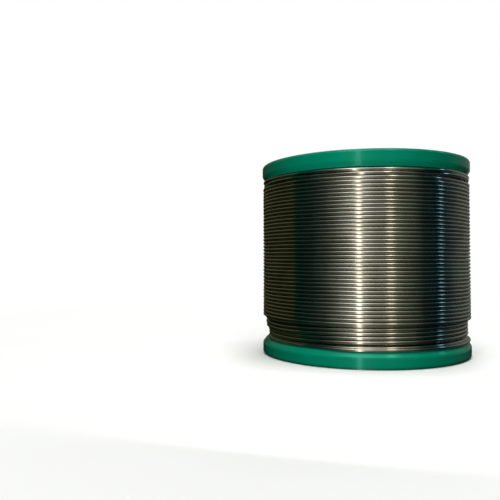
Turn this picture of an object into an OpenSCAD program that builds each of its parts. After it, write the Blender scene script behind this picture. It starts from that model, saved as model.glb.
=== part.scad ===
// Solder wire spool: two snap-on flanges, a bore sleeve and a winding drum, wound with flux-cored wire.
// It stands on its lower flange. +Z is the spool's axis and the origin is the centre of its foot.

/* [Flanges] */
// Outside diameter of both flanges
flange_d = 62; // [60:0.5:70]
// Height of the spool over both flanges
spool_h = 57; // [52:0.5:66]
// Thickness of a flange
flange_t = 4.5; // [4:0.1:6]
// Rounding of a flange's outer corner
edge_r = 0.9; // [0.4:0.1:1.2]
// Bevel of a flange's inner corner, measured along the radius
bevel_w = 1.0; // [0.4:0.1:1.4]
// Bevel of a flange's inner corner, measured along the axis
bevel_h = 1.3; // [0.6:0.1:1.6]
// Rounding where the bevel meets the flange's edge
bevel_r = 1.2; // [0.4:0.1:1.4]

/* [Hub] */
// Diameter of the bore that runs on the dispenser's spindle
bore_d = 20; // [18:0.5:21]
// Width of the chamfer at each mouth of the bore
mouth_w = 0.9; // [0.5:0.1:1.2]
// Depth of the chamfer at each mouth of the bore
mouth_h = 1.2; // [0.8:0.1:1.6]
// Depth of the hub, from a flange's outer face to the end of the sleeve
hub_h = 7; // [6.5:0.1:8]
// Pitch circle diameter of the four drive holes
drive_pcd = 26; // [25.5:0.1:26.5]
// Diameter of a drive hole
drive_d = 4; // [3:0.1:4.2]
// Turn of the hub pattern against the label, in degrees
hub_turn = -6; // [-10:1:10]

/* [Sleeve and drum] */
// Wall of the bore sleeve
sleeve_t = 1.6; // [1.2:0.1:1.7]
// Angle that a snap window takes in the sleeve, in degrees
window_a = 52; // [48:1:56]
// Length of a snap window along the sleeve
window_h = 5.6; // [4.5:0.1:6.5]
// Distance of a snap window from the flange's outer face
window_z = 10; // [9.5:0.1:11]
// Outside diameter of the drum that the wire is wound on
drum_d = 35.6; // [34.4:0.1:35.6]
// Wall of the drum
drum_t = 1.5; // [1.2:0.1:1.6]

/* [Wire] */
// Diameter of the solder wire
wire_d = 1.0; // [0.9:0.05:1.0]
// Distance between two turns of one layer
wire_pitch = 1.026; // [1.01:0.002:1.03]
// Turns in a full layer
layer_turns = 46; // [40:1:46]
// Turns that the outer layer leaves open above the lower flange
open_turns = 6; // [1:1:12]
// Growth of the layer spacing from the upper flange to the lower one, as a fraction
swell = 0.012; // [0:0.002:0.014]

/* [Label] */
// Outside diameter of the paper label
label_d = 59.5; // [50:0.5:60]
// Diameter of the hole in the label
label_hole_d = 25.2; // [24:0.2:27]
// Thickness of the label
label_t = 0.12; // [0.1:0.01:0.2]

/* [Hidden] */
LAYERS = 15;
BURIED = 11;

$fn = 96;
GREEN = [0.0, 0.43, 0.33];
GREEN_DARK = [0.0, 0.34, 0.26];
PAPER = [0.90, 0.91, 0.92];
TIN = [0.52, 0.53, 0.50];

flange_r = flange_d / 2;
bore_r = bore_d / 2;
sleeve_r = bore_r + sleeve_t;
drum_r = drum_d / 2;
boss_r = drum_r - drum_t - 0.1;

// The hub holds the sleeve between two low guides and two snap fingers
fit_gap = 0.1;
socket_r = sleeve_r + fit_gap;
socket_t = 1.2;
guide_h = 2.5;
root_h = 0.5;
seam_w = 0.4;
finger_a = window_a - 4;
hook_r = bore_r + 0.3;
hook_gap = 0.2;
hook_slope = 1.5;

winding_w = spool_h - 2 * flange_t;
winding_top = spool_h - flange_t;
layer_step = sqrt(wire_d * wire_d - wire_pitch * wire_pitch / 4);
end_gap = (winding_w - (layer_turns - 0.5) * wire_pitch - wire_d) / 2;
web_t = 0.3;

// Extra length of a cutting shape past the wall it cuts
through = 1;

function layer_name(i) = str("wire_layer_", i < 10 ? "0" : "", i);

// Radius of the middle of layer i at height z
function layer_r(i, z) =
    drum_r + wire_d / 2 + (i - 1) * layer_step * (1 + swell * (winding_top - z) / winding_w);

// Height of turn k of layer i: every second layer lies in the grooves of the one below
function turn_z(i, k) =
    flange_t + end_gap + wire_d / 2 + (k + (i % 2 == 0 ? 0.5 : 0)) * wire_pitch;

// Half section of a flange with its hub, outer face down
module flange_outline() {
    bevel_l = norm([bevel_w, bevel_h]);
    round_l = bevel_r * tan(atan2(bevel_w, bevel_h) / 2);
    round_z = flange_t - bevel_h - round_l;
    translate([flange_r - edge_r, edge_r])
        circle(r = edge_r);
    translate([flange_r - bevel_r, round_z])
        circle(r = bevel_r);
    polygon([
        [bore_r + mouth_w, 0],
        [flange_r - edge_r, 0],
        [flange_r, edge_r],
        [flange_r, round_z],
        [flange_r - round_l * bevel_w / bevel_l, flange_t - bevel_h + round_l * bevel_h / bevel_l],
        [flange_r - bevel_w, flange_t],
        [boss_r, flange_t],
        [boss_r, hub_h],
        [bore_r + seam_w, hub_h],
        [bore_r, hub_h - seam_w],
        [bore_r, mouth_h]
    ]);
}

// Turns a half section into a segment as wide as a finger
module finger_segment() {
    rotate([0, 0, -finger_a / 2])
        rotate_extrude(angle = finger_a)
            children();
}

// A finger outside the sleeve, with a hook that fills the snap window
module snap_finger() {
    hook_low = window_z + hook_gap;
    hook_top = window_z + window_h - hook_gap;
    finger_segment()
        polygon([
            [socket_r, hub_h - root_h],
            [socket_r + socket_t, hub_h - root_h],
            [socket_r + socket_t, hook_top],
            [socket_r, hook_top],
            [hook_r, hook_top - hook_slope],
            [hook_r, hook_low],
            [socket_r, hook_low]
        ]);
}

// A low guide outside the sleeve, between the fingers
module sleeve_guide() {
    finger_segment()
        translate([socket_r, hub_h - root_h])
            square([socket_t, root_h + guide_h]);
}

// Four holes through the flange and its hub, for the pins of the winding machine
module drive_holes() {
    for (a = [45:90:315])
        rotate([0, 0, a])
            translate([drive_pcd / 2, 0, -through])
                cylinder(d = drive_d, h = hub_h + 2 * through);
}

module flange() {
    rotate([0, 0, hub_turn])
        difference() {
            union() {
                rotate_extrude()
                    flange_outline();
                for (a = [0, 180])
                    rotate([0, 0, a])
                        snap_finger();
                for (a = [90, 270])
                    rotate([0, 0, a])
                        sleeve_guide();
            }
            drive_holes();
        }
}

module lower_flange() {
    color(GREEN)
        flange();
}

module upper_flange() {
    color(GREEN)
        translate([0, 0, spool_h])
            mirror([0, 0, 1])
                flange();
}

// Two windows through one end of the sleeve, measured from the flange's outer face
module snap_windows() {
    for (a = [0, 180])
        rotate([0, 0, a - window_a / 2])
            rotate_extrude(angle = window_a)
                translate([bore_r - through, window_z])
                    square([sleeve_t + 2 * through, window_h]);
}

module bore_sleeve() {
    color(GREEN_DARK)
        rotate([0, 0, hub_turn])
            difference() {
                rotate_extrude()
                    translate([bore_r, hub_h])
                        square([sleeve_t, spool_h - 2 * hub_h]);
                snap_windows();
                translate([0, 0, spool_h])
                    mirror([0, 0, 1])
                        snap_windows();
            }
}

module winding_drum() {
    color(GREEN_DARK)
        rotate_extrude()
            translate([drum_r - drum_t, flange_t])
                square([drum_t, winding_w]);
}

module face_label() {
    color(PAPER)
        rotate_extrude()
            translate([label_hole_d / 2, spool_h])
                square([(label_d - label_hole_d) / 2, label_t]);
}

// A band that follows layer i between two heights, from its middle radius plus in_r to plus out_r
module layer_band(i, low, top, in_r, out_r) {
    polygon([
        [layer_r(i, low) + in_r, low],
        [layer_r(i, low) + out_r, low],
        [layer_r(i, top) + out_r, top],
        [layer_r(i, top) + in_r, top]
    ]);
}

// A buried layer, drawn as the plain ring that its turns fill
module buried_layer(i) {
    next = layer_step - wire_d / 2;
    rotate_extrude()
        layer_band(i, flange_t, winding_top, -wire_d / 2, next);
}

// Turns of layer i, each a true ring of wire, held together by a thin web along their middles
module wound_turns(i, first, last) {
    rotate_extrude() {
        if (last > first)
            layer_band(i, turn_z(i, first), turn_z(i, last), -web_t, 0);
        for (k = [first:last])
            translate([layer_r(i, turn_z(i, k)), turn_z(i, k)])
                circle(d = wire_d);
    }
}

module wire_layer(i) {
    color(TIN) {
        if (i <= BURIED) {
            buried_layer(i);
        } else if (i < LAYERS) {
            wound_turns(i, 0, layer_turns - 1);
        } else {
            // The outer layer starts with one turn on the lower flange and goes on above the open turns
            wound_turns(i, 0, 0);
            wound_turns(i, open_turns, layer_turns - 1);
        }
    }
}

lower_flange();
upper_flange();
bore_sleeve();
winding_drum();
face_label();
for (i = [1:LAYERS])
    wire_layer(i);
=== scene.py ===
"""Looks of the solder wire spool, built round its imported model."""

import math
import random

import bpy
import numpy as np
from mathutils import Matrix, Vector


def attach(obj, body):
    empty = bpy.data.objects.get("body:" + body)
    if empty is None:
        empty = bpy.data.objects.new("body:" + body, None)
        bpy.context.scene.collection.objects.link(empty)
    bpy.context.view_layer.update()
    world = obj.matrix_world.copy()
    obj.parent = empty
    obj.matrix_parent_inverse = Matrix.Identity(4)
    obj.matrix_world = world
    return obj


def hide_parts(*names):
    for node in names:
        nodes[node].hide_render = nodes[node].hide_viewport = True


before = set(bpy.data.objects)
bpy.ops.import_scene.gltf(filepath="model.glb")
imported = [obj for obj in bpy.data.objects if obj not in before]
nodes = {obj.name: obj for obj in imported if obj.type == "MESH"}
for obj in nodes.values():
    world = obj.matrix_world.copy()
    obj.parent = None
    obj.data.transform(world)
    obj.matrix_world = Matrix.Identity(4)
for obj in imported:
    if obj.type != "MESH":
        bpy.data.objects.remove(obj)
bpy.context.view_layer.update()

MM = 0.001


def add_object(name, data):
    """Puts a mesh, a lamp or a camera in the scene."""
    made = bpy.data.objects.new(name, data)
    bpy.context.scene.collection.objects.link(made)
    return made


# ---------------------------------------------------------------------------
# Sizes of the object, in millimetres, as in part.scad
# ---------------------------------------------------------------------------
FLANGE_R = 31.0
FLANGE_T = 4.5
SPOOL_H = 57.0
DRUM_R = 17.8
WIRE_D = 1.0
PITCH = 1.026
TURNS = 46
OPEN_TURNS = 6
SWELL = 0.012
LABEL_TOP = 57.12

WINDING_TOP = SPOOL_H - FLANGE_T
WINDING_W = SPOOL_H - 2 * FLANGE_T
LAYER_STEP = math.sqrt(WIRE_D**2 - PITCH**2 / 4)
END_GAP = (WINDING_W - (TURNS - 0.5) * PITCH - WIRE_D) / 2

# ---------------------------------------------------------------------------
# Camera, fitted to the photograph: level with the middle of the winding, the spool on the right
# ---------------------------------------------------------------------------
CAMERA_AT = (-0.0350, -0.1788, 0.0286)
CAMERA_SIDE = math.atan2(CAMERA_AT[1], CAMERA_AT[0])

camera_data = bpy.data.cameras.new("camera")
camera_data.sensor_width = 36
camera_data.lens = 41.72
camera_data.clip_start = 0.005
camera_data.clip_end = 20
camera = add_object("camera", camera_data)
camera.matrix_world = (
    Matrix.Translation(CAMERA_AT)
    @ Matrix.Rotation(math.radians(90.9), 4, "X")
    @ Matrix.Rotation(math.radians(-0.26), 4, "Z")
)
bpy.context.scene.camera = camera
bpy.context.scene.view_settings.view_transform = "Standard"


# ---------------------------------------------------------------------------
# Small helpers for shader nodes
# ---------------------------------------------------------------------------
def shader(tree, kind, values=None, **settings):
    """Adds a node; values are its inputs by name or number, a socket or a plain value."""
    made = tree.nodes.new(kind)
    for name, value in settings.items():
        setattr(made, name, value)
    for name, value in (values or {}).items():
        target = made.inputs[name]
        if isinstance(value, bpy.types.NodeSocket):
            tree.links.new(value, target)
        else:
            target.default_value = value
    return made


def math_of(tree, operation, *values):
    return shader(tree, "ShaderNodeMath", dict(enumerate(values)), operation=operation).outputs[0]


def length_of(tree, x, y):
    """Length of a vector whose two parts are x and y."""
    squares = [math_of(tree, "MULTIPLY", part, part) for part in (x, y)]
    return math_of(tree, "SQRT", math_of(tree, "ADD", *squares))


def ramp(tree, value, stops):
    """A colour ramp over (position, colour) stops, where a colour may be one grey number."""
    made = shader(tree, "ShaderNodeValToRGB", {"Fac": value})
    points = made.color_ramp.elements
    while len(points) < len(stops):
        points.new(0.5)
    for point, (position, colour) in zip(points, stops):
        point.position = position
        grey = isinstance(colour, (int, float))
        point.color = (colour, colour, colour, 1) if grey else (*colour, 1)
    return made.outputs["Color"]


def spread(tree, value, low, high, to_low, to_high):
    """Maps a value from one range to another, without going past it."""
    made = shader(
        tree,
        "ShaderNodeMapRange",
        {"Value": value, "From Min": low, "From Max": high, "To Min": to_low, "To Max": to_high},
    )
    return made.outputs["Result"]


def noise(tree, vector, size_mm, detail=3.0, roughness=0.55):
    """Noise whose features are about size_mm across, on coordinates in metres."""
    made = shader(
        tree,
        "ShaderNodeTexNoise",
        {
            "Vector": vector,
            "Scale": 1 / (size_mm * MM),
            "Detail": detail,
            "Roughness": roughness,
        },
    )
    return made.outputs["Fac"]


def stretched(tree, vector, scale):
    return shader(tree, "ShaderNodeMapping", {"Vector": vector, "Scale": scale}).outputs[0]


def blend_colours(tree, factor, one, other):
    """one where the factor is 0, and other where it is 1."""
    made = shader(tree, "ShaderNodeMix", data_type="RGBA")
    # Sockets 0, 6 and 7 are the factor and the two colours of a colour mix, and output 2 its result
    for socket, value in ((0, factor), (6, one), (7, other)):
        if isinstance(value, bpy.types.NodeSocket):
            tree.links.new(value, made.inputs[socket])
        else:
            made.inputs[socket].default_value = value
    return made.outputs[2]


def bump(tree, height, distance_mm, normal=None):
    """A bump on top of another normal, if one is given."""
    values = {"Height": height, "Distance": distance_mm * MM}
    made = shader(tree, "ShaderNodeBump", values)
    if normal is not None:
        tree.links.new(normal, made.inputs["Normal"])
    return made.outputs["Normal"]


def new_material(name):
    made = bpy.data.materials.new(name)
    made.use_nodes = True
    tree = made.node_tree
    return made, tree, tree.nodes["Principled BSDF"]


def connect(tree, surface, **sockets):
    """Sets or links the surface's inputs; a name's underscores stand for spaces."""
    for name, value in sockets.items():
        target = surface.inputs[name.replace("_", " ")]
        if isinstance(value, bpy.types.NodeSocket):
            tree.links.new(value, target)
        else:
            target.default_value = value


# ---------------------------------------------------------------------------
# Materials
# ---------------------------------------------------------------------------
def plastic(name, base, dark, light, gloss, scuffs=1.0):
    """Glossy moulded styrene: faint flow marks, fine scratches, and corners rubbed a little paler."""
    made, tree, surface = new_material(name)
    place = shader(tree, "ShaderNodeTexCoord").outputs["Object"]
    flow = noise(tree, stretched(tree, place, (1, 1, 2.2)), 14, detail=2)
    colour = blend_colours(tree, spread(tree, flow, 0.35, 0.65, 0, 1), (*dark, 1), (*base, 1))

    # Corners of the two flanges: far out, and close to an outer face
    parts = shader(tree, "ShaderNodeSeparateXYZ", {"Vector": place}).outputs
    radius = length_of(tree, parts[0], parts[1])
    middle = math_of(tree, "ABSOLUTE", math_of(tree, "SUBTRACT", parts[2], SPOOL_H / 2 * MM))
    corner = math_of(
        tree,
        "MULTIPLY",
        spread(tree, radius, (FLANGE_R - 0.75) * MM, (FLANGE_R - 0.15) * MM, 0, 1),
        spread(tree, middle, (SPOOL_H / 2 - 0.85) * MM, (SPOOL_H / 2 - 0.3) * MM, 0, 1),
    )
    patches = spread(tree, noise(tree, place, 2.6, detail=4, roughness=0.7), 0.48, 0.62, 0, 1)
    wear = math_of(tree, "MULTIPLY", math_of(tree, "MULTIPLY", corner, patches), 0.22 * scuffs)
    colour = blend_colours(tree, wear, colour, (*light, 1))

    # Handling marks: patches of fine scratches that run round the spool
    lines = noise(tree, stretched(tree, place, (1, 1, 22)), 6, detail=4, roughness=0.7)
    rubbed = spread(tree, noise(tree, place, 11, detail=2), 0.48, 0.66, 0, 1)
    scratch = math_of(tree, "MULTIPLY", spread(tree, lines, 0.60, 0.68, 0, 1), rubbed)
    haze = noise(tree, stretched(tree, place, (1, 1, 0.6)), 3.2, detail=5, roughness=0.65)
    rough = spread(tree, haze, 0.3, 0.75, gloss - 0.04, gloss + 0.08)
    rough = math_of(tree, "ADD", rough, math_of(tree, "MULTIPLY", scratch, 0.12 * scuffs))
    rough = math_of(tree, "ADD", rough, math_of(tree, "MULTIPLY", wear, 0.3))

    normal = bump(tree, noise(tree, place, 6, detail=2), 0.026)
    normal = bump(tree, noise(tree, place, 0.35, detail=3), 0.0008, normal)
    connect(tree, surface, Base_Color=colour, Roughness=rough, Normal=normal, IOR=1.53)
    # The gloss of this plastic keeps some of its green
    connect(tree, surface, Specular_IOR_Level=0.85, Specular_Tint=(0.22, 1.0, 0.85, 1))
    return made


def solder():
    """Drawn tin wire: bright, with fine lines along it and a faint uneven bloom."""
    made, tree, surface = new_material("solder")
    place = shader(tree, "ShaderNodeTexCoord").outputs["Object"]
    along = shader(tree, "ShaderNodeUVMap").outputs["UV"]
    bloom = noise(tree, place, 6, detail=4, roughness=0.6)
    colour = ramp(
        tree,
        bloom,
        [(0.32, (0.50, 0.48, 0.42)), (0.52, (0.60, 0.585, 0.54)), (0.72, (0.66, 0.65, 0.62))],
    )
    spots = spread(tree, noise(tree, place, 1.1, detail=2), 0.70, 0.76, 0, 0.2)
    colour = blend_colours(tree, spots, colour, (0.36, 0.34, 0.29, 1))
    lines = noise(tree, stretched(tree, along, (0.05, 1, 1)), 0.12, detail=2)
    dents = noise(tree, stretched(tree, along, (0.35, 1, 1)), 1.3, detail=1)
    rough = spread(tree, bloom, 0.3, 0.7, 0.12, 0.08)
    rough = math_of(tree, "ADD", rough, math_of(tree, "MULTIPLY", lines, 0.03))
    normal = bump(tree, dents, 0.003)
    normal = bump(tree, lines, 0.0010, normal)
    connect(tree, surface, Base_Color=colour, Metallic=1.0, Roughness=rough, Normal=normal)
    return made


def paper():
    """Coated label paper, a little mottled, with a fine tooth."""
    made, tree, surface = new_material("label_paper")
    place = shader(tree, "ShaderNodeTexCoord").outputs["Object"]
    mottle = noise(tree, place, 5.5, detail=4, roughness=0.6)
    colour = ramp(
        tree,
        mottle,
        [(0.3, (0.745, 0.78, 0.80)), (0.55, (0.78, 0.81, 0.835)), (0.75, (0.81, 0.835, 0.855))],
    )
    rough = spread(tree, noise(tree, place, 2.0, detail=3), 0.3, 0.7, 0.34, 0.48)
    normal = bump(tree, noise(tree, place, 0.12, detail=3), 0.002)
    normal = bump(tree, noise(tree, place, 9, detail=1), 0.02, normal)
    connect(tree, surface, Base_Color=colour, Roughness=rough, Normal=normal, IOR=1.48)
    return made


def ink(name, colour, pale):
    """Printing ink that lets a little of the paper through."""
    made, tree, surface = new_material(name)
    place = shader(tree, "ShaderNodeTexCoord").outputs["Object"]
    cover = spread(tree, noise(tree, place, 0.5, detail=4, roughness=0.7), 0.5, 0.75, 0, 0.3)
    colour = blend_colours(tree, cover, (*colour, 1), (*pale, 1))
    rough = spread(tree, noise(tree, place, 1.5), 0.3, 0.7, 0.3, 0.42)
    normal = bump(tree, noise(tree, place, 0.12, detail=3), 0.002)
    connect(tree, surface, Base_Color=colour, Roughness=rough, Normal=normal, IOR=1.48)
    return made


def rosin():
    """Flux in the cores of the wire: clear amber rosin."""
    made, tree, surface = new_material("flux")
    place = shader(tree, "ShaderNodeTexCoord").outputs["Object"]
    cloud = noise(tree, place, 0.15, detail=2)
    colour = ramp(tree, cloud, [(0.35, (0.55, 0.30, 0.08)), (0.65, (0.75, 0.48, 0.16))])
    connect(
        tree,
        surface,
        Base_Color=colour,
        Roughness=spread(tree, cloud, 0.3, 0.7, 0.2, 0.35),
        IOR=1.53,
    )
    return made


GREEN = plastic(
    "flange_plastic", (0.0, 0.238, 0.137), (0.0, 0.216, 0.122), (0.08, 0.36, 0.25), 0.14
)
GREEN_INSIDE = plastic(
    "hub_plastic", (0.002, 0.215, 0.130), (0.001, 0.185, 0.110), (0.10, 0.34, 0.26), 0.20, scuffs=0.6
)
SOLDER = solder()
PAPER = paper()
INK_BLACK = ink("label_ink_black", (0.020, 0.021, 0.023), (0.10, 0.10, 0.105))
INK_GREEN = ink("label_ink_green", (0.01, 0.20, 0.07), (0.10, 0.34, 0.18))
INK_RED = ink("label_ink_red", (0.52, 0.012, 0.018), (0.60, 0.10, 0.09))
FLUX = rosin()


# ---------------------------------------------------------------------------
# The plastic and paper parts keep their shape and take a finish
# ---------------------------------------------------------------------------
def finish_node(name, material):
    node = nodes[name]
    node.data.materials.clear()
    node.data.materials.append(material)
    node.data.shade_smooth()
    node.data.set_sharp_from_angle(angle=math.radians(24))


finish_node("lower_flange", GREEN)
finish_node("upper_flange", GREEN)
finish_node("bore_sleeve", GREEN_INSIDE)
finish_node("winding_drum", GREEN_INSIDE)
finish_node("face_label", PAPER)
for name, node in nodes.items():
    if name.startswith("wire_layer"):
        finish_node(name, SOLDER)


# ---------------------------------------------------------------------------
# The wire: real turns in place of the outer layers' rings
# ---------------------------------------------------------------------------
STEPS = 150  # points along one turn
SIDES = 12  # of the wire's cross-section
# A cut end, in parts of the wire's radius: how far its middle stands out, and its flat's size
CAP_RISE, CAP_RIM = 0.05, 0.88


def layer_r(layer, z):
    grown = 1 + SWELL * (WINDING_TOP - z) / WINDING_W
    return DRUM_R + WIRE_D / 2 + (layer - 1) * LAYER_STEP * grown


def ease(value, low, high):
    """0 below low, 1 above high, and smooth between them."""
    t = np.clip((value - low) / (high - low), 0, 1)
    return t * t * (3 - 2 * t)


def bell(angle, middle, flat, fade):
    """1 within flat degrees of the middle angle, and 0 from fade degrees further out."""
    away = np.abs((angle - middle + 180) % 360 - 180)
    return 1 - ease(away, flat, flat + fade)


def staircase(turn, crossing):
    """Turns that lie level and climb one step in a crossing, a given part of a turn long."""
    whole = np.floor(turn)
    return whole + ease(turn - whole, 1 - crossing, 1)


def field(seed, count, low, high):
    """A smooth uneven function of a turn's number and angle, about -1 to 1."""
    pick = random.Random(seed)
    waves = [
        (pick.uniform(low, high), pick.randint(1, 4), pick.uniform(0, 2 * math.pi))
        for _ in range(count)
    ]

    def value(turn, angle):
        total = sum(np.sin(f * turn + n * np.radians(angle) + p) for f, n, p in waves)
        return total / math.sqrt(count)

    return value


def tube(name, path, radius):
    """A wire along a path of points. Its ring starts at the side that faces out from the axis."""
    path = np.asarray(path, float)
    along = np.gradient(path, axis=0)
    along /= np.linalg.norm(along, axis=1)[:, None]
    outward = path * [1, 1, 0]
    outward /= np.linalg.norm(outward, axis=1)[:, None]
    outward -= along * np.sum(outward * along, axis=1)[:, None]
    outward /= np.linalg.norm(outward, axis=1)[:, None]
    across = np.cross(along, outward)
    turn = np.arange(SIDES) * 2 * math.pi / SIDES
    ring = (
        outward[:, None, :] * np.cos(turn)[None, :, None]
        + across[:, None, :] * np.sin(turn)[None, :, None]
    )
    points = (path[:, None, :] + ring * radius).reshape(-1, 3) * MM
    count = len(path)
    start = (np.arange(count - 1)[:, None] * SIDES + np.arange(SIDES)[None, :]).ravel()
    beside = (
        np.arange(count - 1)[:, None] * SIDES + (np.arange(SIDES)[None, :] + 1) % SIDES
    ).ravel()
    quads = np.stack([start, beside, beside + SIDES, start + SIDES], axis=1)

    # Each end: a small bevelled rim, then a fan to a middle point
    faces = quads.tolist()
    caps = []
    for row, outwards in ((0, -1), (count - 1, 1)):
        rim = len(points) + sum(len(c) for c in caps)
        centre = path[row] + along[row] * outwards * CAP_RISE * radius
        ring_in = centre + ring[row] * radius * CAP_RIM
        caps.append(np.vstack([ring_in, centre]) * MM)
        for k in range(SIDES):
            j = (k + 1) % SIDES
            a, b = row * SIDES + k, row * SIDES + j
            if outwards > 0:
                faces.append([a, b, rim + j, rim + k])
                faces.append([rim + k, rim + j, rim + SIDES])
            else:
                faces.append([b, a, rim + k, rim + j])
                faces.append([rim + j, rim + k, rim + SIDES])
    points = np.vstack([points, *caps])

    mesh = bpy.data.meshes.new(name)
    mesh.from_pydata(points.tolist(), [], faces)
    gone = np.concatenate([[0], np.cumsum(np.linalg.norm(np.diff(path, axis=0), axis=1))]) * MM
    lengths = np.concatenate([np.repeat(gone, SIDES), np.zeros(2 * SIDES + 2)])
    girth = 2 * math.pi * radius * MM
    layer = mesh.uv_layers.new(name="UVMap")
    corners = np.zeros(len(mesh.loops), np.int32)
    mesh.loops.foreach_get("vertex_index", corners)
    uv = np.zeros((len(corners), 2))
    uv[:, 0] = lengths[corners]
    uv[:, 1] = (corners % SIDES) / SIDES * girth
    wrap = np.arange(len(quads)) % SIDES == SIDES - 1
    for corner in (1, 2):
        uv[np.flatnonzero(wrap) * 4 + corner, 1] = girth
    layer.data.foreach_set("uv", uv.ravel())
    mesh.validate()
    mesh.shade_smooth()
    mesh.set_sharp_from_angle(angle=math.radians(50))
    return add_object(name, mesh)


CAMERA_DEG = math.degrees(CAMERA_SIDE)
FRONT = CAMERA_DEG + 11
# The left of the spool, where the lowest turns have sunk between the flange and the winding
SUNK_SIDE = CAMERA_DEG - 80
# The right of the spool, where the last two turns were pressed against the upper flange
PRESSED_SIDE = CAMERA_DEG + 95
# The back, where a turn takes its extra step to the next, and where one layer goes over to the next
BACK = 100.0
LEVEL = 0.25  # part of a turn's rise that it takes at the back, and not evenly
CROSSING = 0.16  # length of that step, in turns
INNER_RUN = TURNS + 0.2  # turns along a full layer, with its way over to the next
OUTER_RUN = 39.98  # turns along the outer layer, above the open turns
# How unevenly the wire lies: up and down, in and out, and in and out once more in the outer layer
UNEVEN_Z, UNEVEN_R, KINKS_R = 0.04, 0.012, 0.012
# How far the winding lies above the middle of its room: the turns of the odd and the even layers
RAISED_ODD, RAISED_EVEN = 0.36, 0.40
LOW_TURN_R = 30.22  # radius of the single turn on the lower flange
CLEAR = 0.01  # between a wire and what it lies against
HIGHEST = WINDING_TOP - WIRE_D / 2 - CLEAR
LOWEST = FLANGE_T + WIRE_D / 2 + CLEAR
WIDEST = FLANGE_R - WIRE_D / 2 - CLEAR

z_field = field(11, 7, 0.25, 0.75)
r_field = field(12, 7, 0.5, 2.6)
kink_field = field(13, 6, 1.2, 3.0)


def sink(by_turn, slid, number, angle):
    """How far the lowest turns have sunk towards the axis, and slid down, by turn number."""
    here = bell(angle, SUNK_SIDE, 30, 45)
    inward = np.interp(number, range(len(by_turn)), by_turn) * here
    down = np.interp(number, range(len(slid)), slid) * here
    return inward, down


def wound(layer, first, last, turns):
    """Path of a layer, with the spool always turned the same way. The turns are numbered from the
    lower flange, and first and last are the turns at the front where the layer starts and ends."""
    to_front = (BACK - FRONT) / 360
    up = 1 if last > first else -1
    gone = np.linspace(0, turns, int(turns * STEPS) + 1)
    angle = BACK - 360 * gone
    # The step comes a little earlier in one turn and later in another
    at = gone + 0.06 * np.sin(gone * 0.7 + layer)
    climb = (1 - LEVEL) * (gone - to_front) + LEVEL * staircase(at, CROSSING)
    number = first + up * climb
    odd = layer % 2 == 1
    z = FLANGE_T + END_GAP + WIRE_D / 2 + (number + (0.0 if odd else 0.5)) * PITCH
    z = z + (RAISED_ODD if odd else RAISED_EVEN)
    if layer == 14:
        # Its lowest turns lie nearer to the lower flange
        z = z - np.interp(number, [0, 1, 2, 3, 4], [0.66, 0.17, 0.12, 0.05, 0])
    inside = ease(number, 4, 7) * (1 - ease(number, TURNS - 5, TURNS - 2))
    z = z + UNEVEN_Z * z_field(number, angle) * inside
    r = layer_r(layer, z) + UNEVEN_R * r_field(number * 1.9 + layer, angle)
    if layer == 15:
        r = r + KINKS_R * kink_field(number * 2.1, angle * 2)
    return gone, angle, number, r, z


def place(angle, r, z):
    a = np.radians(angle)
    return np.stack([r * np.cos(a), r * np.sin(a), z + 0 * r], axis=1)


def wire_piece(name, path, node):
    made = tube(name, path, WIRE_D / 2)
    made.data.materials.append(SOLDER)
    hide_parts(node)
    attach(made, "root")
    return made


# Three layers whose turns show at the foot of the winding, or between the outer turns
for layer, first, last in ((12, 45, 0), (13, 0, 45), (14, 45, 0)):
    gone, angle, number, r, z = wound(layer, first, last, INNER_RUN)
    if layer == 14:
        slid = [0, 0.36, 0.36, 0.36, 0.36, 0.1, 0]
        inward, down = sink([1.4, 0.8, 0.8, 0, 0], slid, number, angle)
        # The last turn goes over to the lower flange at the back
        over = ease(gone, gone[-1] - 0.45, gone[-1])
        r = r + 0.72 * over
        # Its highest turns lie deep on the right, so the gap between the outer turns there is dark
        r = r - 0.55 * bell(angle, PRESSED_SIDE, 42, 20) * ease(number, TURNS - 4.2, TURNS - 3.2)
    else:
        slid = [0, 0.36, 0.36, 0.36, 0.2, 0]
        inward, down = sink([2.4, 1.1, 0.86, 0.86, 0], slid, number, angle)
    z = np.clip(z - down, LOWEST, HIGHEST)
    wire_piece(f"wire_turns_{layer}", place(angle, r - inward, z), f"wire_layer_{layer}")

# The outer layer: one turn on the lower flange, a steep rise at the back, then 40 turns up
RISE_DEG = 62  # length of the rise round the spool
LOW_POINTS, RISE_POINTS = 125, 28
low_angle = np.linspace(BACK, BACK - 360 + RISE_DEG, LOW_POINTS, endpoint=False)
low_sunk, _ = sink([1.35, 1.35], [0, 0], 0 * low_angle, low_angle)
low_z = LOWEST + 0 * low_angle
low_r = LOW_TURN_R - low_sunk

top = TURNS - 1
gone, angle, number, r, z = wound(15, OPEN_TURNS, top, OUTER_RUN)

# The last two turns lie against the flange on the right, with a gap below them
lift = bell(angle, PRESSED_SIDE, 40, 22) * ease(number, top - 1.9, top - 1.5)
z = np.clip(z + 0.50 * lift, LOWEST, HIGHEST)
r = r + 0.12 * lift * (1 - ease(number, top - 1.1, top - 0.6))
# Near the top the wire was laid less evenly
uneven = ease(number, top - 3.4, top - 1.2)
r = r + 0.19 * uneven * np.sin(np.radians(angle) * 7 + number * 2.3) - 0.14 * uneven
# The end springs out a little from the winding
to_end = (gone[-1] - gone) * 360
r = np.minimum(r, WIDEST)
r = r + 0.42 * (1 - ease(to_end, 0, 26))

step = np.linspace(0, 1, RISE_POINTS + 1)[:-1]
rise_angle = low_angle[-1] + (BACK - 360 - low_angle[-1]) * step
rise = ease(step, 0, 1)
rise_z = low_z[-1] + (z[0] - low_z[-1]) * rise
rise_r = low_r[-1] + (r[0] - low_r[-1]) * rise + 0.07 * np.sin(np.pi * step)

outer_path = np.vstack(
    [
        place(low_angle[:-1], low_r[:-1], low_z[:-1]),
        place(rise_angle, rise_r, rise_z),
        place(angle, r, z),
    ]
)
wire_piece("wire_turns_15", outer_path, "wire_layer_15")

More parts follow.
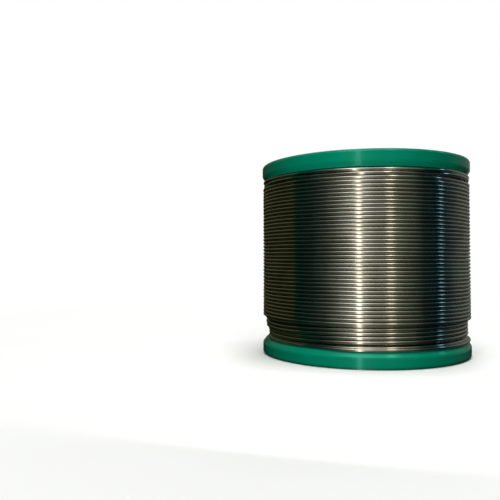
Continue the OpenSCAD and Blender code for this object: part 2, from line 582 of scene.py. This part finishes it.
# Flux cores in the cut end: each is a low mound, built of rings of (height, radius)
CORES = 5
CORE_SIDES = 12
CORE_AWAY = 0.27  # from the middle of the wire
CORE_START = 0.03  # past the last point of the wire
CORE_RINGS = ((0.0, 0.085), (0.012, 0.075), (0.018, 0.04))
tip = outer_path[-1]
way = outer_path[-1] - outer_path[-4]
way /= np.linalg.norm(way)
side = np.array([tip[0], tip[1], 0]) / math.hypot(tip[0], tip[1])
side -= way * side.dot(way)
side /= np.linalg.norm(side)
upward = np.cross(way, side)
verts, faces = [], []
for k in range(CORES):
    turned = math.radians(90 + 360 / CORES * k)
    offset = (side * math.cos(turned) + upward * math.sin(turned)) * CORE_AWAY
    core = tip + way * CORE_START + offset
    base = len(verts)
    for height, size in CORE_RINGS:
        for j in range(CORE_SIDES):
            a = 2 * math.pi * j / CORE_SIDES
            out_to = (side * math.cos(a) + upward * math.sin(a)) * size
            verts.append((core + way * height + out_to) * MM)
    for ring_at in (0, CORE_SIDES):
        for j in range(CORE_SIDES):
            n = (j + 1) % CORE_SIDES
            a, b = base + ring_at + j, base + ring_at + n
            faces.append([a, b, b + CORE_SIDES, a + CORE_SIDES])
    faces.append([base + 2 * CORE_SIDES + j for j in range(CORE_SIDES)])
    faces.append([base + CORE_SIDES - 1 - j for j in range(CORE_SIDES)])
mesh = bpy.data.meshes.new("flux_cores")
mesh.from_pydata([tuple(v) for v in verts], [], faces)
mesh.shade_smooth()
mesh.materials.append(FLUX)
cores = add_object("flux_cores", mesh)
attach(cores, "root")


# ---------------------------------------------------------------------------
# The printing on the label: plain blocks in the places of its lines and marks
# ---------------------------------------------------------------------------
INK_T = 0.012


class Print:
    """Flat shapes of one ink, collected into one thin mesh that lies on the label."""

    def __init__(self, name, material):
        self.name, self.material, self.verts, self.faces = name, material, [], []

    def polygon(self, points):
        """A closed outline, counter-clockwise, in millimetres on the label's face."""
        base, n = len(self.verts), len(points)
        for x, y in points:
            self.verts.append((x * MM, y * MM, (LABEL_TOP + INK_T) * MM))
        for x, y in points:
            self.verts.append((x * MM, y * MM, LABEL_TOP * MM))
        self.faces.append(list(range(base, base + n)))
        self.faces.append(list(range(base + 2 * n - 1, base + n - 1, -1)))
        for k in range(n):
            j = (k + 1) % n
            self.faces.append([base + j, base + k, base + n + k, base + n + j])

    def block(self, x0, y0, x1, y1, corner=0.0):
        if corner <= 0:
            self.polygon([(x0, y0), (x1, y0), (x1, y1), (x0, y1)])
            return
        points = []
        for cx, cy, start in (
            (x1 - corner, y0 + corner, -90),
            (x1 - corner, y1 - corner, 0),
            (x0 + corner, y1 - corner, 90),
            (x0 + corner, y0 + corner, 180),
        ):
            for k in range(4):
                a = math.radians(start + 30 * k)
                points.append((cx + corner * math.cos(a), cy + corner * math.sin(a)))
        self.polygon(points)

    def ring(self, cx, cy, r_out, r_in, steps=32):
        """A ring, in short four-sided pieces that share their edges' places."""
        for k in range(steps):
            a0 = math.radians(360 * k / steps)
            a1 = math.radians(360 * (k + 1) / steps)
            self.polygon(
                [
                    (cx + r_in * math.cos(a0), cy + r_in * math.sin(a0)),
                    (cx + r_out * math.cos(a0), cy + r_out * math.sin(a0)),
                    (cx + r_out * math.cos(a1), cy + r_out * math.sin(a1)),
                    (cx + r_in * math.cos(a1), cy + r_in * math.sin(a1)),
                ]
            )

    def words(self, x0, x1, low, high, seed, bold=1.0):
        """A line of greeked words: small upright blocks, none of them a letter."""
        pick = random.Random(seed)
        height = high - low
        x = x0
        left = pick.randint(3, 7)
        while x < x1 - 0.2 * height:
            width = min(pick.uniform(0.42, 0.66) * height * bold, x1 - x)
            tall = height if pick.random() < 0.3 else height * 0.76
            self.block(x, low, x + width, low + tall, 0.12 * min(width, tall))
            left -= 1
            x += width + (0.16 if left else 0.55) * height
            left = left or pick.randint(3, 7)

    def arc_words(self, radius, thickness, start, end, seed, inward=False):
        """A line of greeked words along an arc, angles in degrees from +X."""
        pick = random.Random(seed)
        per = math.degrees(1 / radius)
        a, left = start, pick.randint(3, 7)
        while a < end - 0.3 * thickness * per:
            width = min(pick.uniform(0.45, 0.7) * thickness * per, end - a)
            tall = thickness if pick.random() < 0.3 else thickness * 0.76
            r0, r1 = (radius - tall, radius) if inward else (radius, radius + tall)
            c0, s0 = math.cos(math.radians(a)), math.sin(math.radians(a))
            c1, s1 = math.cos(math.radians(a + width)), math.sin(math.radians(a + width))
            self.polygon(
                [(r0 * c0, r0 * s0), (r1 * c0, r1 * s0), (r1 * c1, r1 * s1), (r0 * c1, r0 * s1)]
            )
            left -= 1
            a += width + (0.18 if left else 0.6) * thickness * per
            left = left or pick.randint(3, 7)

    def make(self):
        mesh = bpy.data.meshes.new(self.name)
        mesh.from_pydata(self.verts, [], self.faces)
        mesh.materials.append(self.material)
        made = add_object(self.name, mesh)
        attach(made, "root")


black = Print("label_ink_black", INK_BLACK)
black.words(-11.3, 9.7, 22.1, 23.8, 1)
black.words(-18.3, -7.4, 19.7, 21.3, 2)
black.words(-3.2, 16.8, 19.7, 21.3, 3)
black.words(-12.5, 5.0, 17.4, 19.0, 4)
black.arc_words(13.7, 1.2, 68, 112, 5)
for row, (y, end) in enumerate(((15.7, -16.2), (12.9, -15.0), (10.5, -15.8), (8.1, -17.5))):
    black.words(-25.3, end, y - 0.8, y + 0.8, 10 + row)
black.words(11.3, 25.6, 10.2, 11.8, 20)
black.words(11.8, 23.4, 7.8, 9.4, 21)
black.words(-25.8, -22.6, -6.1, -4.7, 22)
for row, width in enumerate((13, 12, 14, 14.6, 3.6, 13.2, 13.2)):
    middle_y = -7.8 - row * 1.28
    reach = min(width / 2, math.sqrt(28.6**2 - middle_y**2) - 19.1)
    black.words(19.1 - reach, 19.1 + reach, middle_y - 0.42, middle_y + 0.42, 30 + row)
black.arc_words(24.9, 1.5, 247, 293, 40, inward=True)
# A square frame round two small bars
for x0, y0, x1, y1 in ((15.4, 13.7, 19.3, 14.0), (15.4, 17.4, 19.3, 17.7)):
    black.block(x0, y0, x1, y1)
for x0, y0, x1, y1 in ((15.4, 14.0, 15.7, 17.4), (19.0, 14.0, 19.3, 17.4)):
    black.block(x0, y0, x1, y1)
black.block(16.2, 14.6, 18.5, 15.3, 0.1)
black.block(16.2, 16.0, 18.5, 16.7, 0.1)
# A ring round a smaller one
black.ring(22.2, 15.9, 1.95, 1.62)
black.ring(22.2, 15.9, 0.75, 0.25, steps=16)
black.make()

green = Print("label_ink_green", INK_GREEN)
green.block(-13.6, 24.4, 12.4, 25.9, 0.15)
# A plain dot
green.ring(3.0, -18.6, 1.5, 0.02)
green.make()

red = Print("label_ink_red", INK_RED)
red.words(-6.1, 4.7, 26.4, 28.2, 50, bold=1.25)
red.block(-7.9, -20.9, -0.2, -17.3, 1.4)
red.make()


# ---------------------------------------------------------------------------
# Floor: white, fading into the background before its far edge
# ---------------------------------------------------------------------------
def disc(name, radius, z, rings, spokes=96):
    """A flat disc whose rings are closer together near its middle."""
    verts, faces = [(0, 0, z)], []
    for k in range(rings):
        r = radius * ((k + 1) / rings) ** 2
        for j in range(spokes):
            a = 2 * math.pi * j / spokes
            verts.append((r * math.cos(a), r * math.sin(a), z))
    for j in range(spokes):
        faces.append([0, 1 + j, 1 + (j + 1) % spokes])
    for k in range(rings - 1):
        a, b = 1 + k * spokes, 1 + (k + 1) * spokes
        for j in range(spokes):
            n = (j + 1) % spokes
            faces.append([a + j, b + j, b + n, a + n])
    mesh = bpy.data.meshes.new(name)
    mesh.from_pydata(verts, [], faces)
    return add_object(name, mesh)


floor = disc("floor", 3.0, -0.00002, 12)
floor_material = bpy.data.materials.new("floor")
floor_material.use_nodes = True
tree = floor_material.node_tree
tree.nodes.clear()
place_of = shader(tree, "ShaderNodeTexCoord").outputs["Object"]
away = shader(tree, "ShaderNodeVectorMath", {0: place_of}, operation="LENGTH").outputs["Value"]
grain = spread(tree, noise(tree, place_of, 40, detail=2), 0.3, 0.7, 0.86, 0.88)
colour = shader(tree, "ShaderNodeCombineXYZ", {0: grain, 1: grain, 2: grain}).outputs[0]
lit = shader(tree, "ShaderNodeBsdfDiffuse", {"Color": colour}).outputs[0]
white = shader(tree, "ShaderNodeEmission", {"Color": (1, 1, 1, 1), "Strength": 1.0}).outputs[0]
mixed = shader(
    tree,
    "ShaderNodeMixShader",
    {0: spread(tree, away, 0.08, 0.26, 0, 1), 1: lit, 2: white},
).outputs[0]
shader(tree, "ShaderNodeOutputMaterial", {"Surface": mixed})
floor.data.materials.append(floor_material)
floor.visible_glossy = False
floor.visible_diffuse = False


# ---------------------------------------------------------------------------
# Light: a studio round the spool, bright overhead and in front, darker at the sides
# ---------------------------------------------------------------------------
def around(degrees):
    """Position on a ramp of a heading in degrees."""
    return (degrees + 180) / 360


world = bpy.data.worlds.new("studio")
bpy.context.scene.world = world
world.use_nodes = True
tree = world.node_tree
tree.nodes.clear()
way_out = shader(tree, "ShaderNodeTexCoord").outputs["Generated"]
ahead = Vector((math.cos(CAMERA_SIDE), math.sin(CAMERA_SIDE), 0))
aside = Vector((-ahead.y, ahead.x, 0))


def part_of(direction):
    made = shader(
        tree, "ShaderNodeVectorMath", {0: way_out, 1: direction}, operation="DOT_PRODUCT"
    )
    return made.outputs["Value"]


# The sources lean away behind the spool: each lies on a plane through the point opposite the camera
forward = math_of(tree, "ADD", part_of(ahead), 1.0)
sideways = part_of(aside)
above = part_of((0, 0, 1))
level_part = length_of(tree, forward, sideways)
heading = math_of(tree, "ARCTAN2", sideways, forward)
heading = spread(tree, heading, -math.pi / 2, math.pi / 2, 0, 1)
tilt = math_of(tree, "ARCTAN2", above, level_part)
tilt = math_of(tree, "MULTIPLY", tilt, 360 / math.pi)  # in degrees, above or below the camera

# Radiance by heading, in degrees from the camera's side, to the right positive: the walls of the
# studio, and its ceiling
WALLS = [
    (-180, (0.020, 0.020, 0.010)),
    (-145, (0.038, 0.040, 0.019)),
    (-84, (0.034, 0.039, 0.018)),
    (-79, (0.006, 0.030, 0.016)),
    (-58, (0.017, 0.037, 0.032)),
    (-42, (0.037, 0.050, 0.040)),
    (-30, (0.083, 0.097, 0.068)),
    (-20, (0.16, 0.16, 0.127)),
    (-12, (0.28, 0.27, 0.21)),
    (-7.5, (0.50, 0.47, 0.38)),
    (-6.3, (2.5, 2.35, 2.05)),
    (-3.2, (2.5, 2.35, 2.05)),
    (-2, (0.50, 0.47, 0.38)),
    (3, (0.33, 0.32, 0.24)),
    (12, (0.19, 0.19, 0.145)),
    (25, (0.125, 0.124, 0.080)),
    (28.5, (0.24, 0.22, 0.12)),
    (32, (0.11, 0.115, 0.07)),
    (44, (0.088, 0.10, 0.066)),
    (56, (0.05, 0.068, 0.05)),
    (66, (0.016, 0.030, 0.026)),
    (86, (0.006, 0.020, 0.030)),
    (100, (0.036, 0.063, 0.070)),
    (117, (0.11, 0.135, 0.115)),
    (138, (0.165, 0.18, 0.155)),
    (180, (0.20, 0.21, 0.19)),
]
CEILING = [
    (-180, (0.14, 0.14, 0.08)),
    (-145, (0.137, 0.142, 0.07)),
    (-84, (0.130, 0.140, 0.07)),
    (-79, (0.012, 0.066, 0.038)),
    (-58, (0.026, 0.056, 0.047)),
    (-42, (0.15, 0.20, 0.17)),
    (-30, (0.50, 0.56, 0.49)),
    (-20, (1.25, 1.30, 1.22)),
    (-12, (2.5, 2.5, 2.4)),
    (-5, (2.5, 2.5, 2.35)),
    (3, (2.3, 2.3, 2.2)),
    (12, (1.15, 1.18, 1.12)),
    (24, (1.1, 1.1, 1.0)),
    (26.5, (3.3, 3.2, 2.7)),
    (31, (3.3, 3.2, 2.7)),
    (35, (0.95, 0.98, 0.85)),
    (44, (0.42, 0.46, 0.38)),
    (56, (0.25, 0.28, 0.22)),
    (66, (0.045, 0.080, 0.075)),
    (87, (0.020, 0.070, 0.09)),
    (89.5, (0.72, 1.25, 1.62)),
    (92, (0.72, 1.25, 1.62)),
    (95, (0.045, 0.10, 0.13)),
    (117, (0.18, 0.21, 0.18)),
    (138, (0.19, 0.21, 0.185)),
    (180, (0.20, 0.21, 0.19)),
]
# How much of the walls' light is left near the floor
NEAR_FLOOR = [
    (-180, 0.05),
    (-84, 0.08),
    (-58, 0.20),
    (-40, 0.42),
    (-14, 0.8),
    (-7, 1.0),
    (-2, 1.0),
    (0, 0.78),
    (12, 0.66),
    (25, 0.98),
    (44, 0.46),
    (70, 0.25),
    (100, 0.14),
    (180, 0.20),
]
STRONG = 4.0  # a ramp holds values up to 1


def scaled_colour(colour, scale):
    return shader(
        tree, "ShaderNodeVectorMath", {0: colour, "Scale": scale}, operation="SCALE"
    ).outputs[0]


def studio_band(stops):
    parts = [(around(a), tuple(v / STRONG for v in colour)) for a, colour in stops]
    return scaled_colour(ramp(tree, heading, parts), STRONG)


walls, ceiling = studio_band(WALLS), studio_band(CEILING)
near_floor = scaled_colour(walls, ramp(tree, heading, [(around(a), v) for a, v in NEAR_FLOOR]))
lowest = scaled_colour(near_floor, 0.85)
overhead = scaled_colour(ceiling, 0.14)
behind = blend_colours(tree, 0.5, ceiling, (0.60, 0.58, 0.50, 1))
# From the floor up, each band fades into the next one between two tilts
seen = lowest
for from_tilt, to_tilt, upper in (
    (-74, -62, near_floor),
    (-24, -6, walls),
    (38, 45, ceiling),
    (66, 73, overhead),
    (76, 150, behind),
):
    seen = blend_colours(tree, spread(tree, tilt, from_tilt, to_tilt, 0, 1), seen, upper)

# The white table gives its light back to matt surfaces
ray = shader(tree, "ShaderNodeLightPath").outputs
below = spread(tree, above, -0.05, 0, 1, 0)
table = math_of(tree, "MULTIPLY", below, ray["Is Diffuse Ray"])
seen = blend_colours(tree, table, seen, (0.15, 0.15, 0.147, 1))
studio = shader(tree, "ShaderNodeBackground", {"Color": seen, "Strength": 1.0}).outputs[0]
plain = shader(tree, "ShaderNodeBackground", {"Color": (1, 1, 1, 1), "Strength": 1.0}).outputs[0]
both = {0: ray["Is Camera Ray"], 1: studio, 2: plain}
shown = shader(tree, "ShaderNodeMixShader", both).outputs[0]
shader(tree, "ShaderNodeOutputWorld", {"Surface": shown})


def lamp(name, azimuth, elevation, distance, size, watts):
    """A soft round light for the matt surfaces that shines at the middle of the spool."""
    data = bpy.data.lights.new(name, "AREA")
    data.shape = "DISK"
    data.size = size
    data.energy = watts
    made = add_object(name, data)
    a = CAMERA_SIDE + math.radians(azimuth)
    e = math.radians(elevation)
    back = Vector((math.cos(a) * math.cos(e), math.sin(a) * math.cos(e), math.sin(e)))
    made.location = Vector((0, 0, SPOOL_H / 2 * MM)) + back * distance
    made.rotation_mode = "QUATERNION"
    made.rotation_quaternion = back.to_track_quat("Z", "Y")
    made.visible_camera = False
    made.visible_glossy = False


lamp("key", -6, 4, 0.098, 0.03, 0.034)
lamp("top", 60, 87, 0.9, 0.50, 5.5)
lamp("rear", 170, 35, 0.9, 0.50, 2.5)
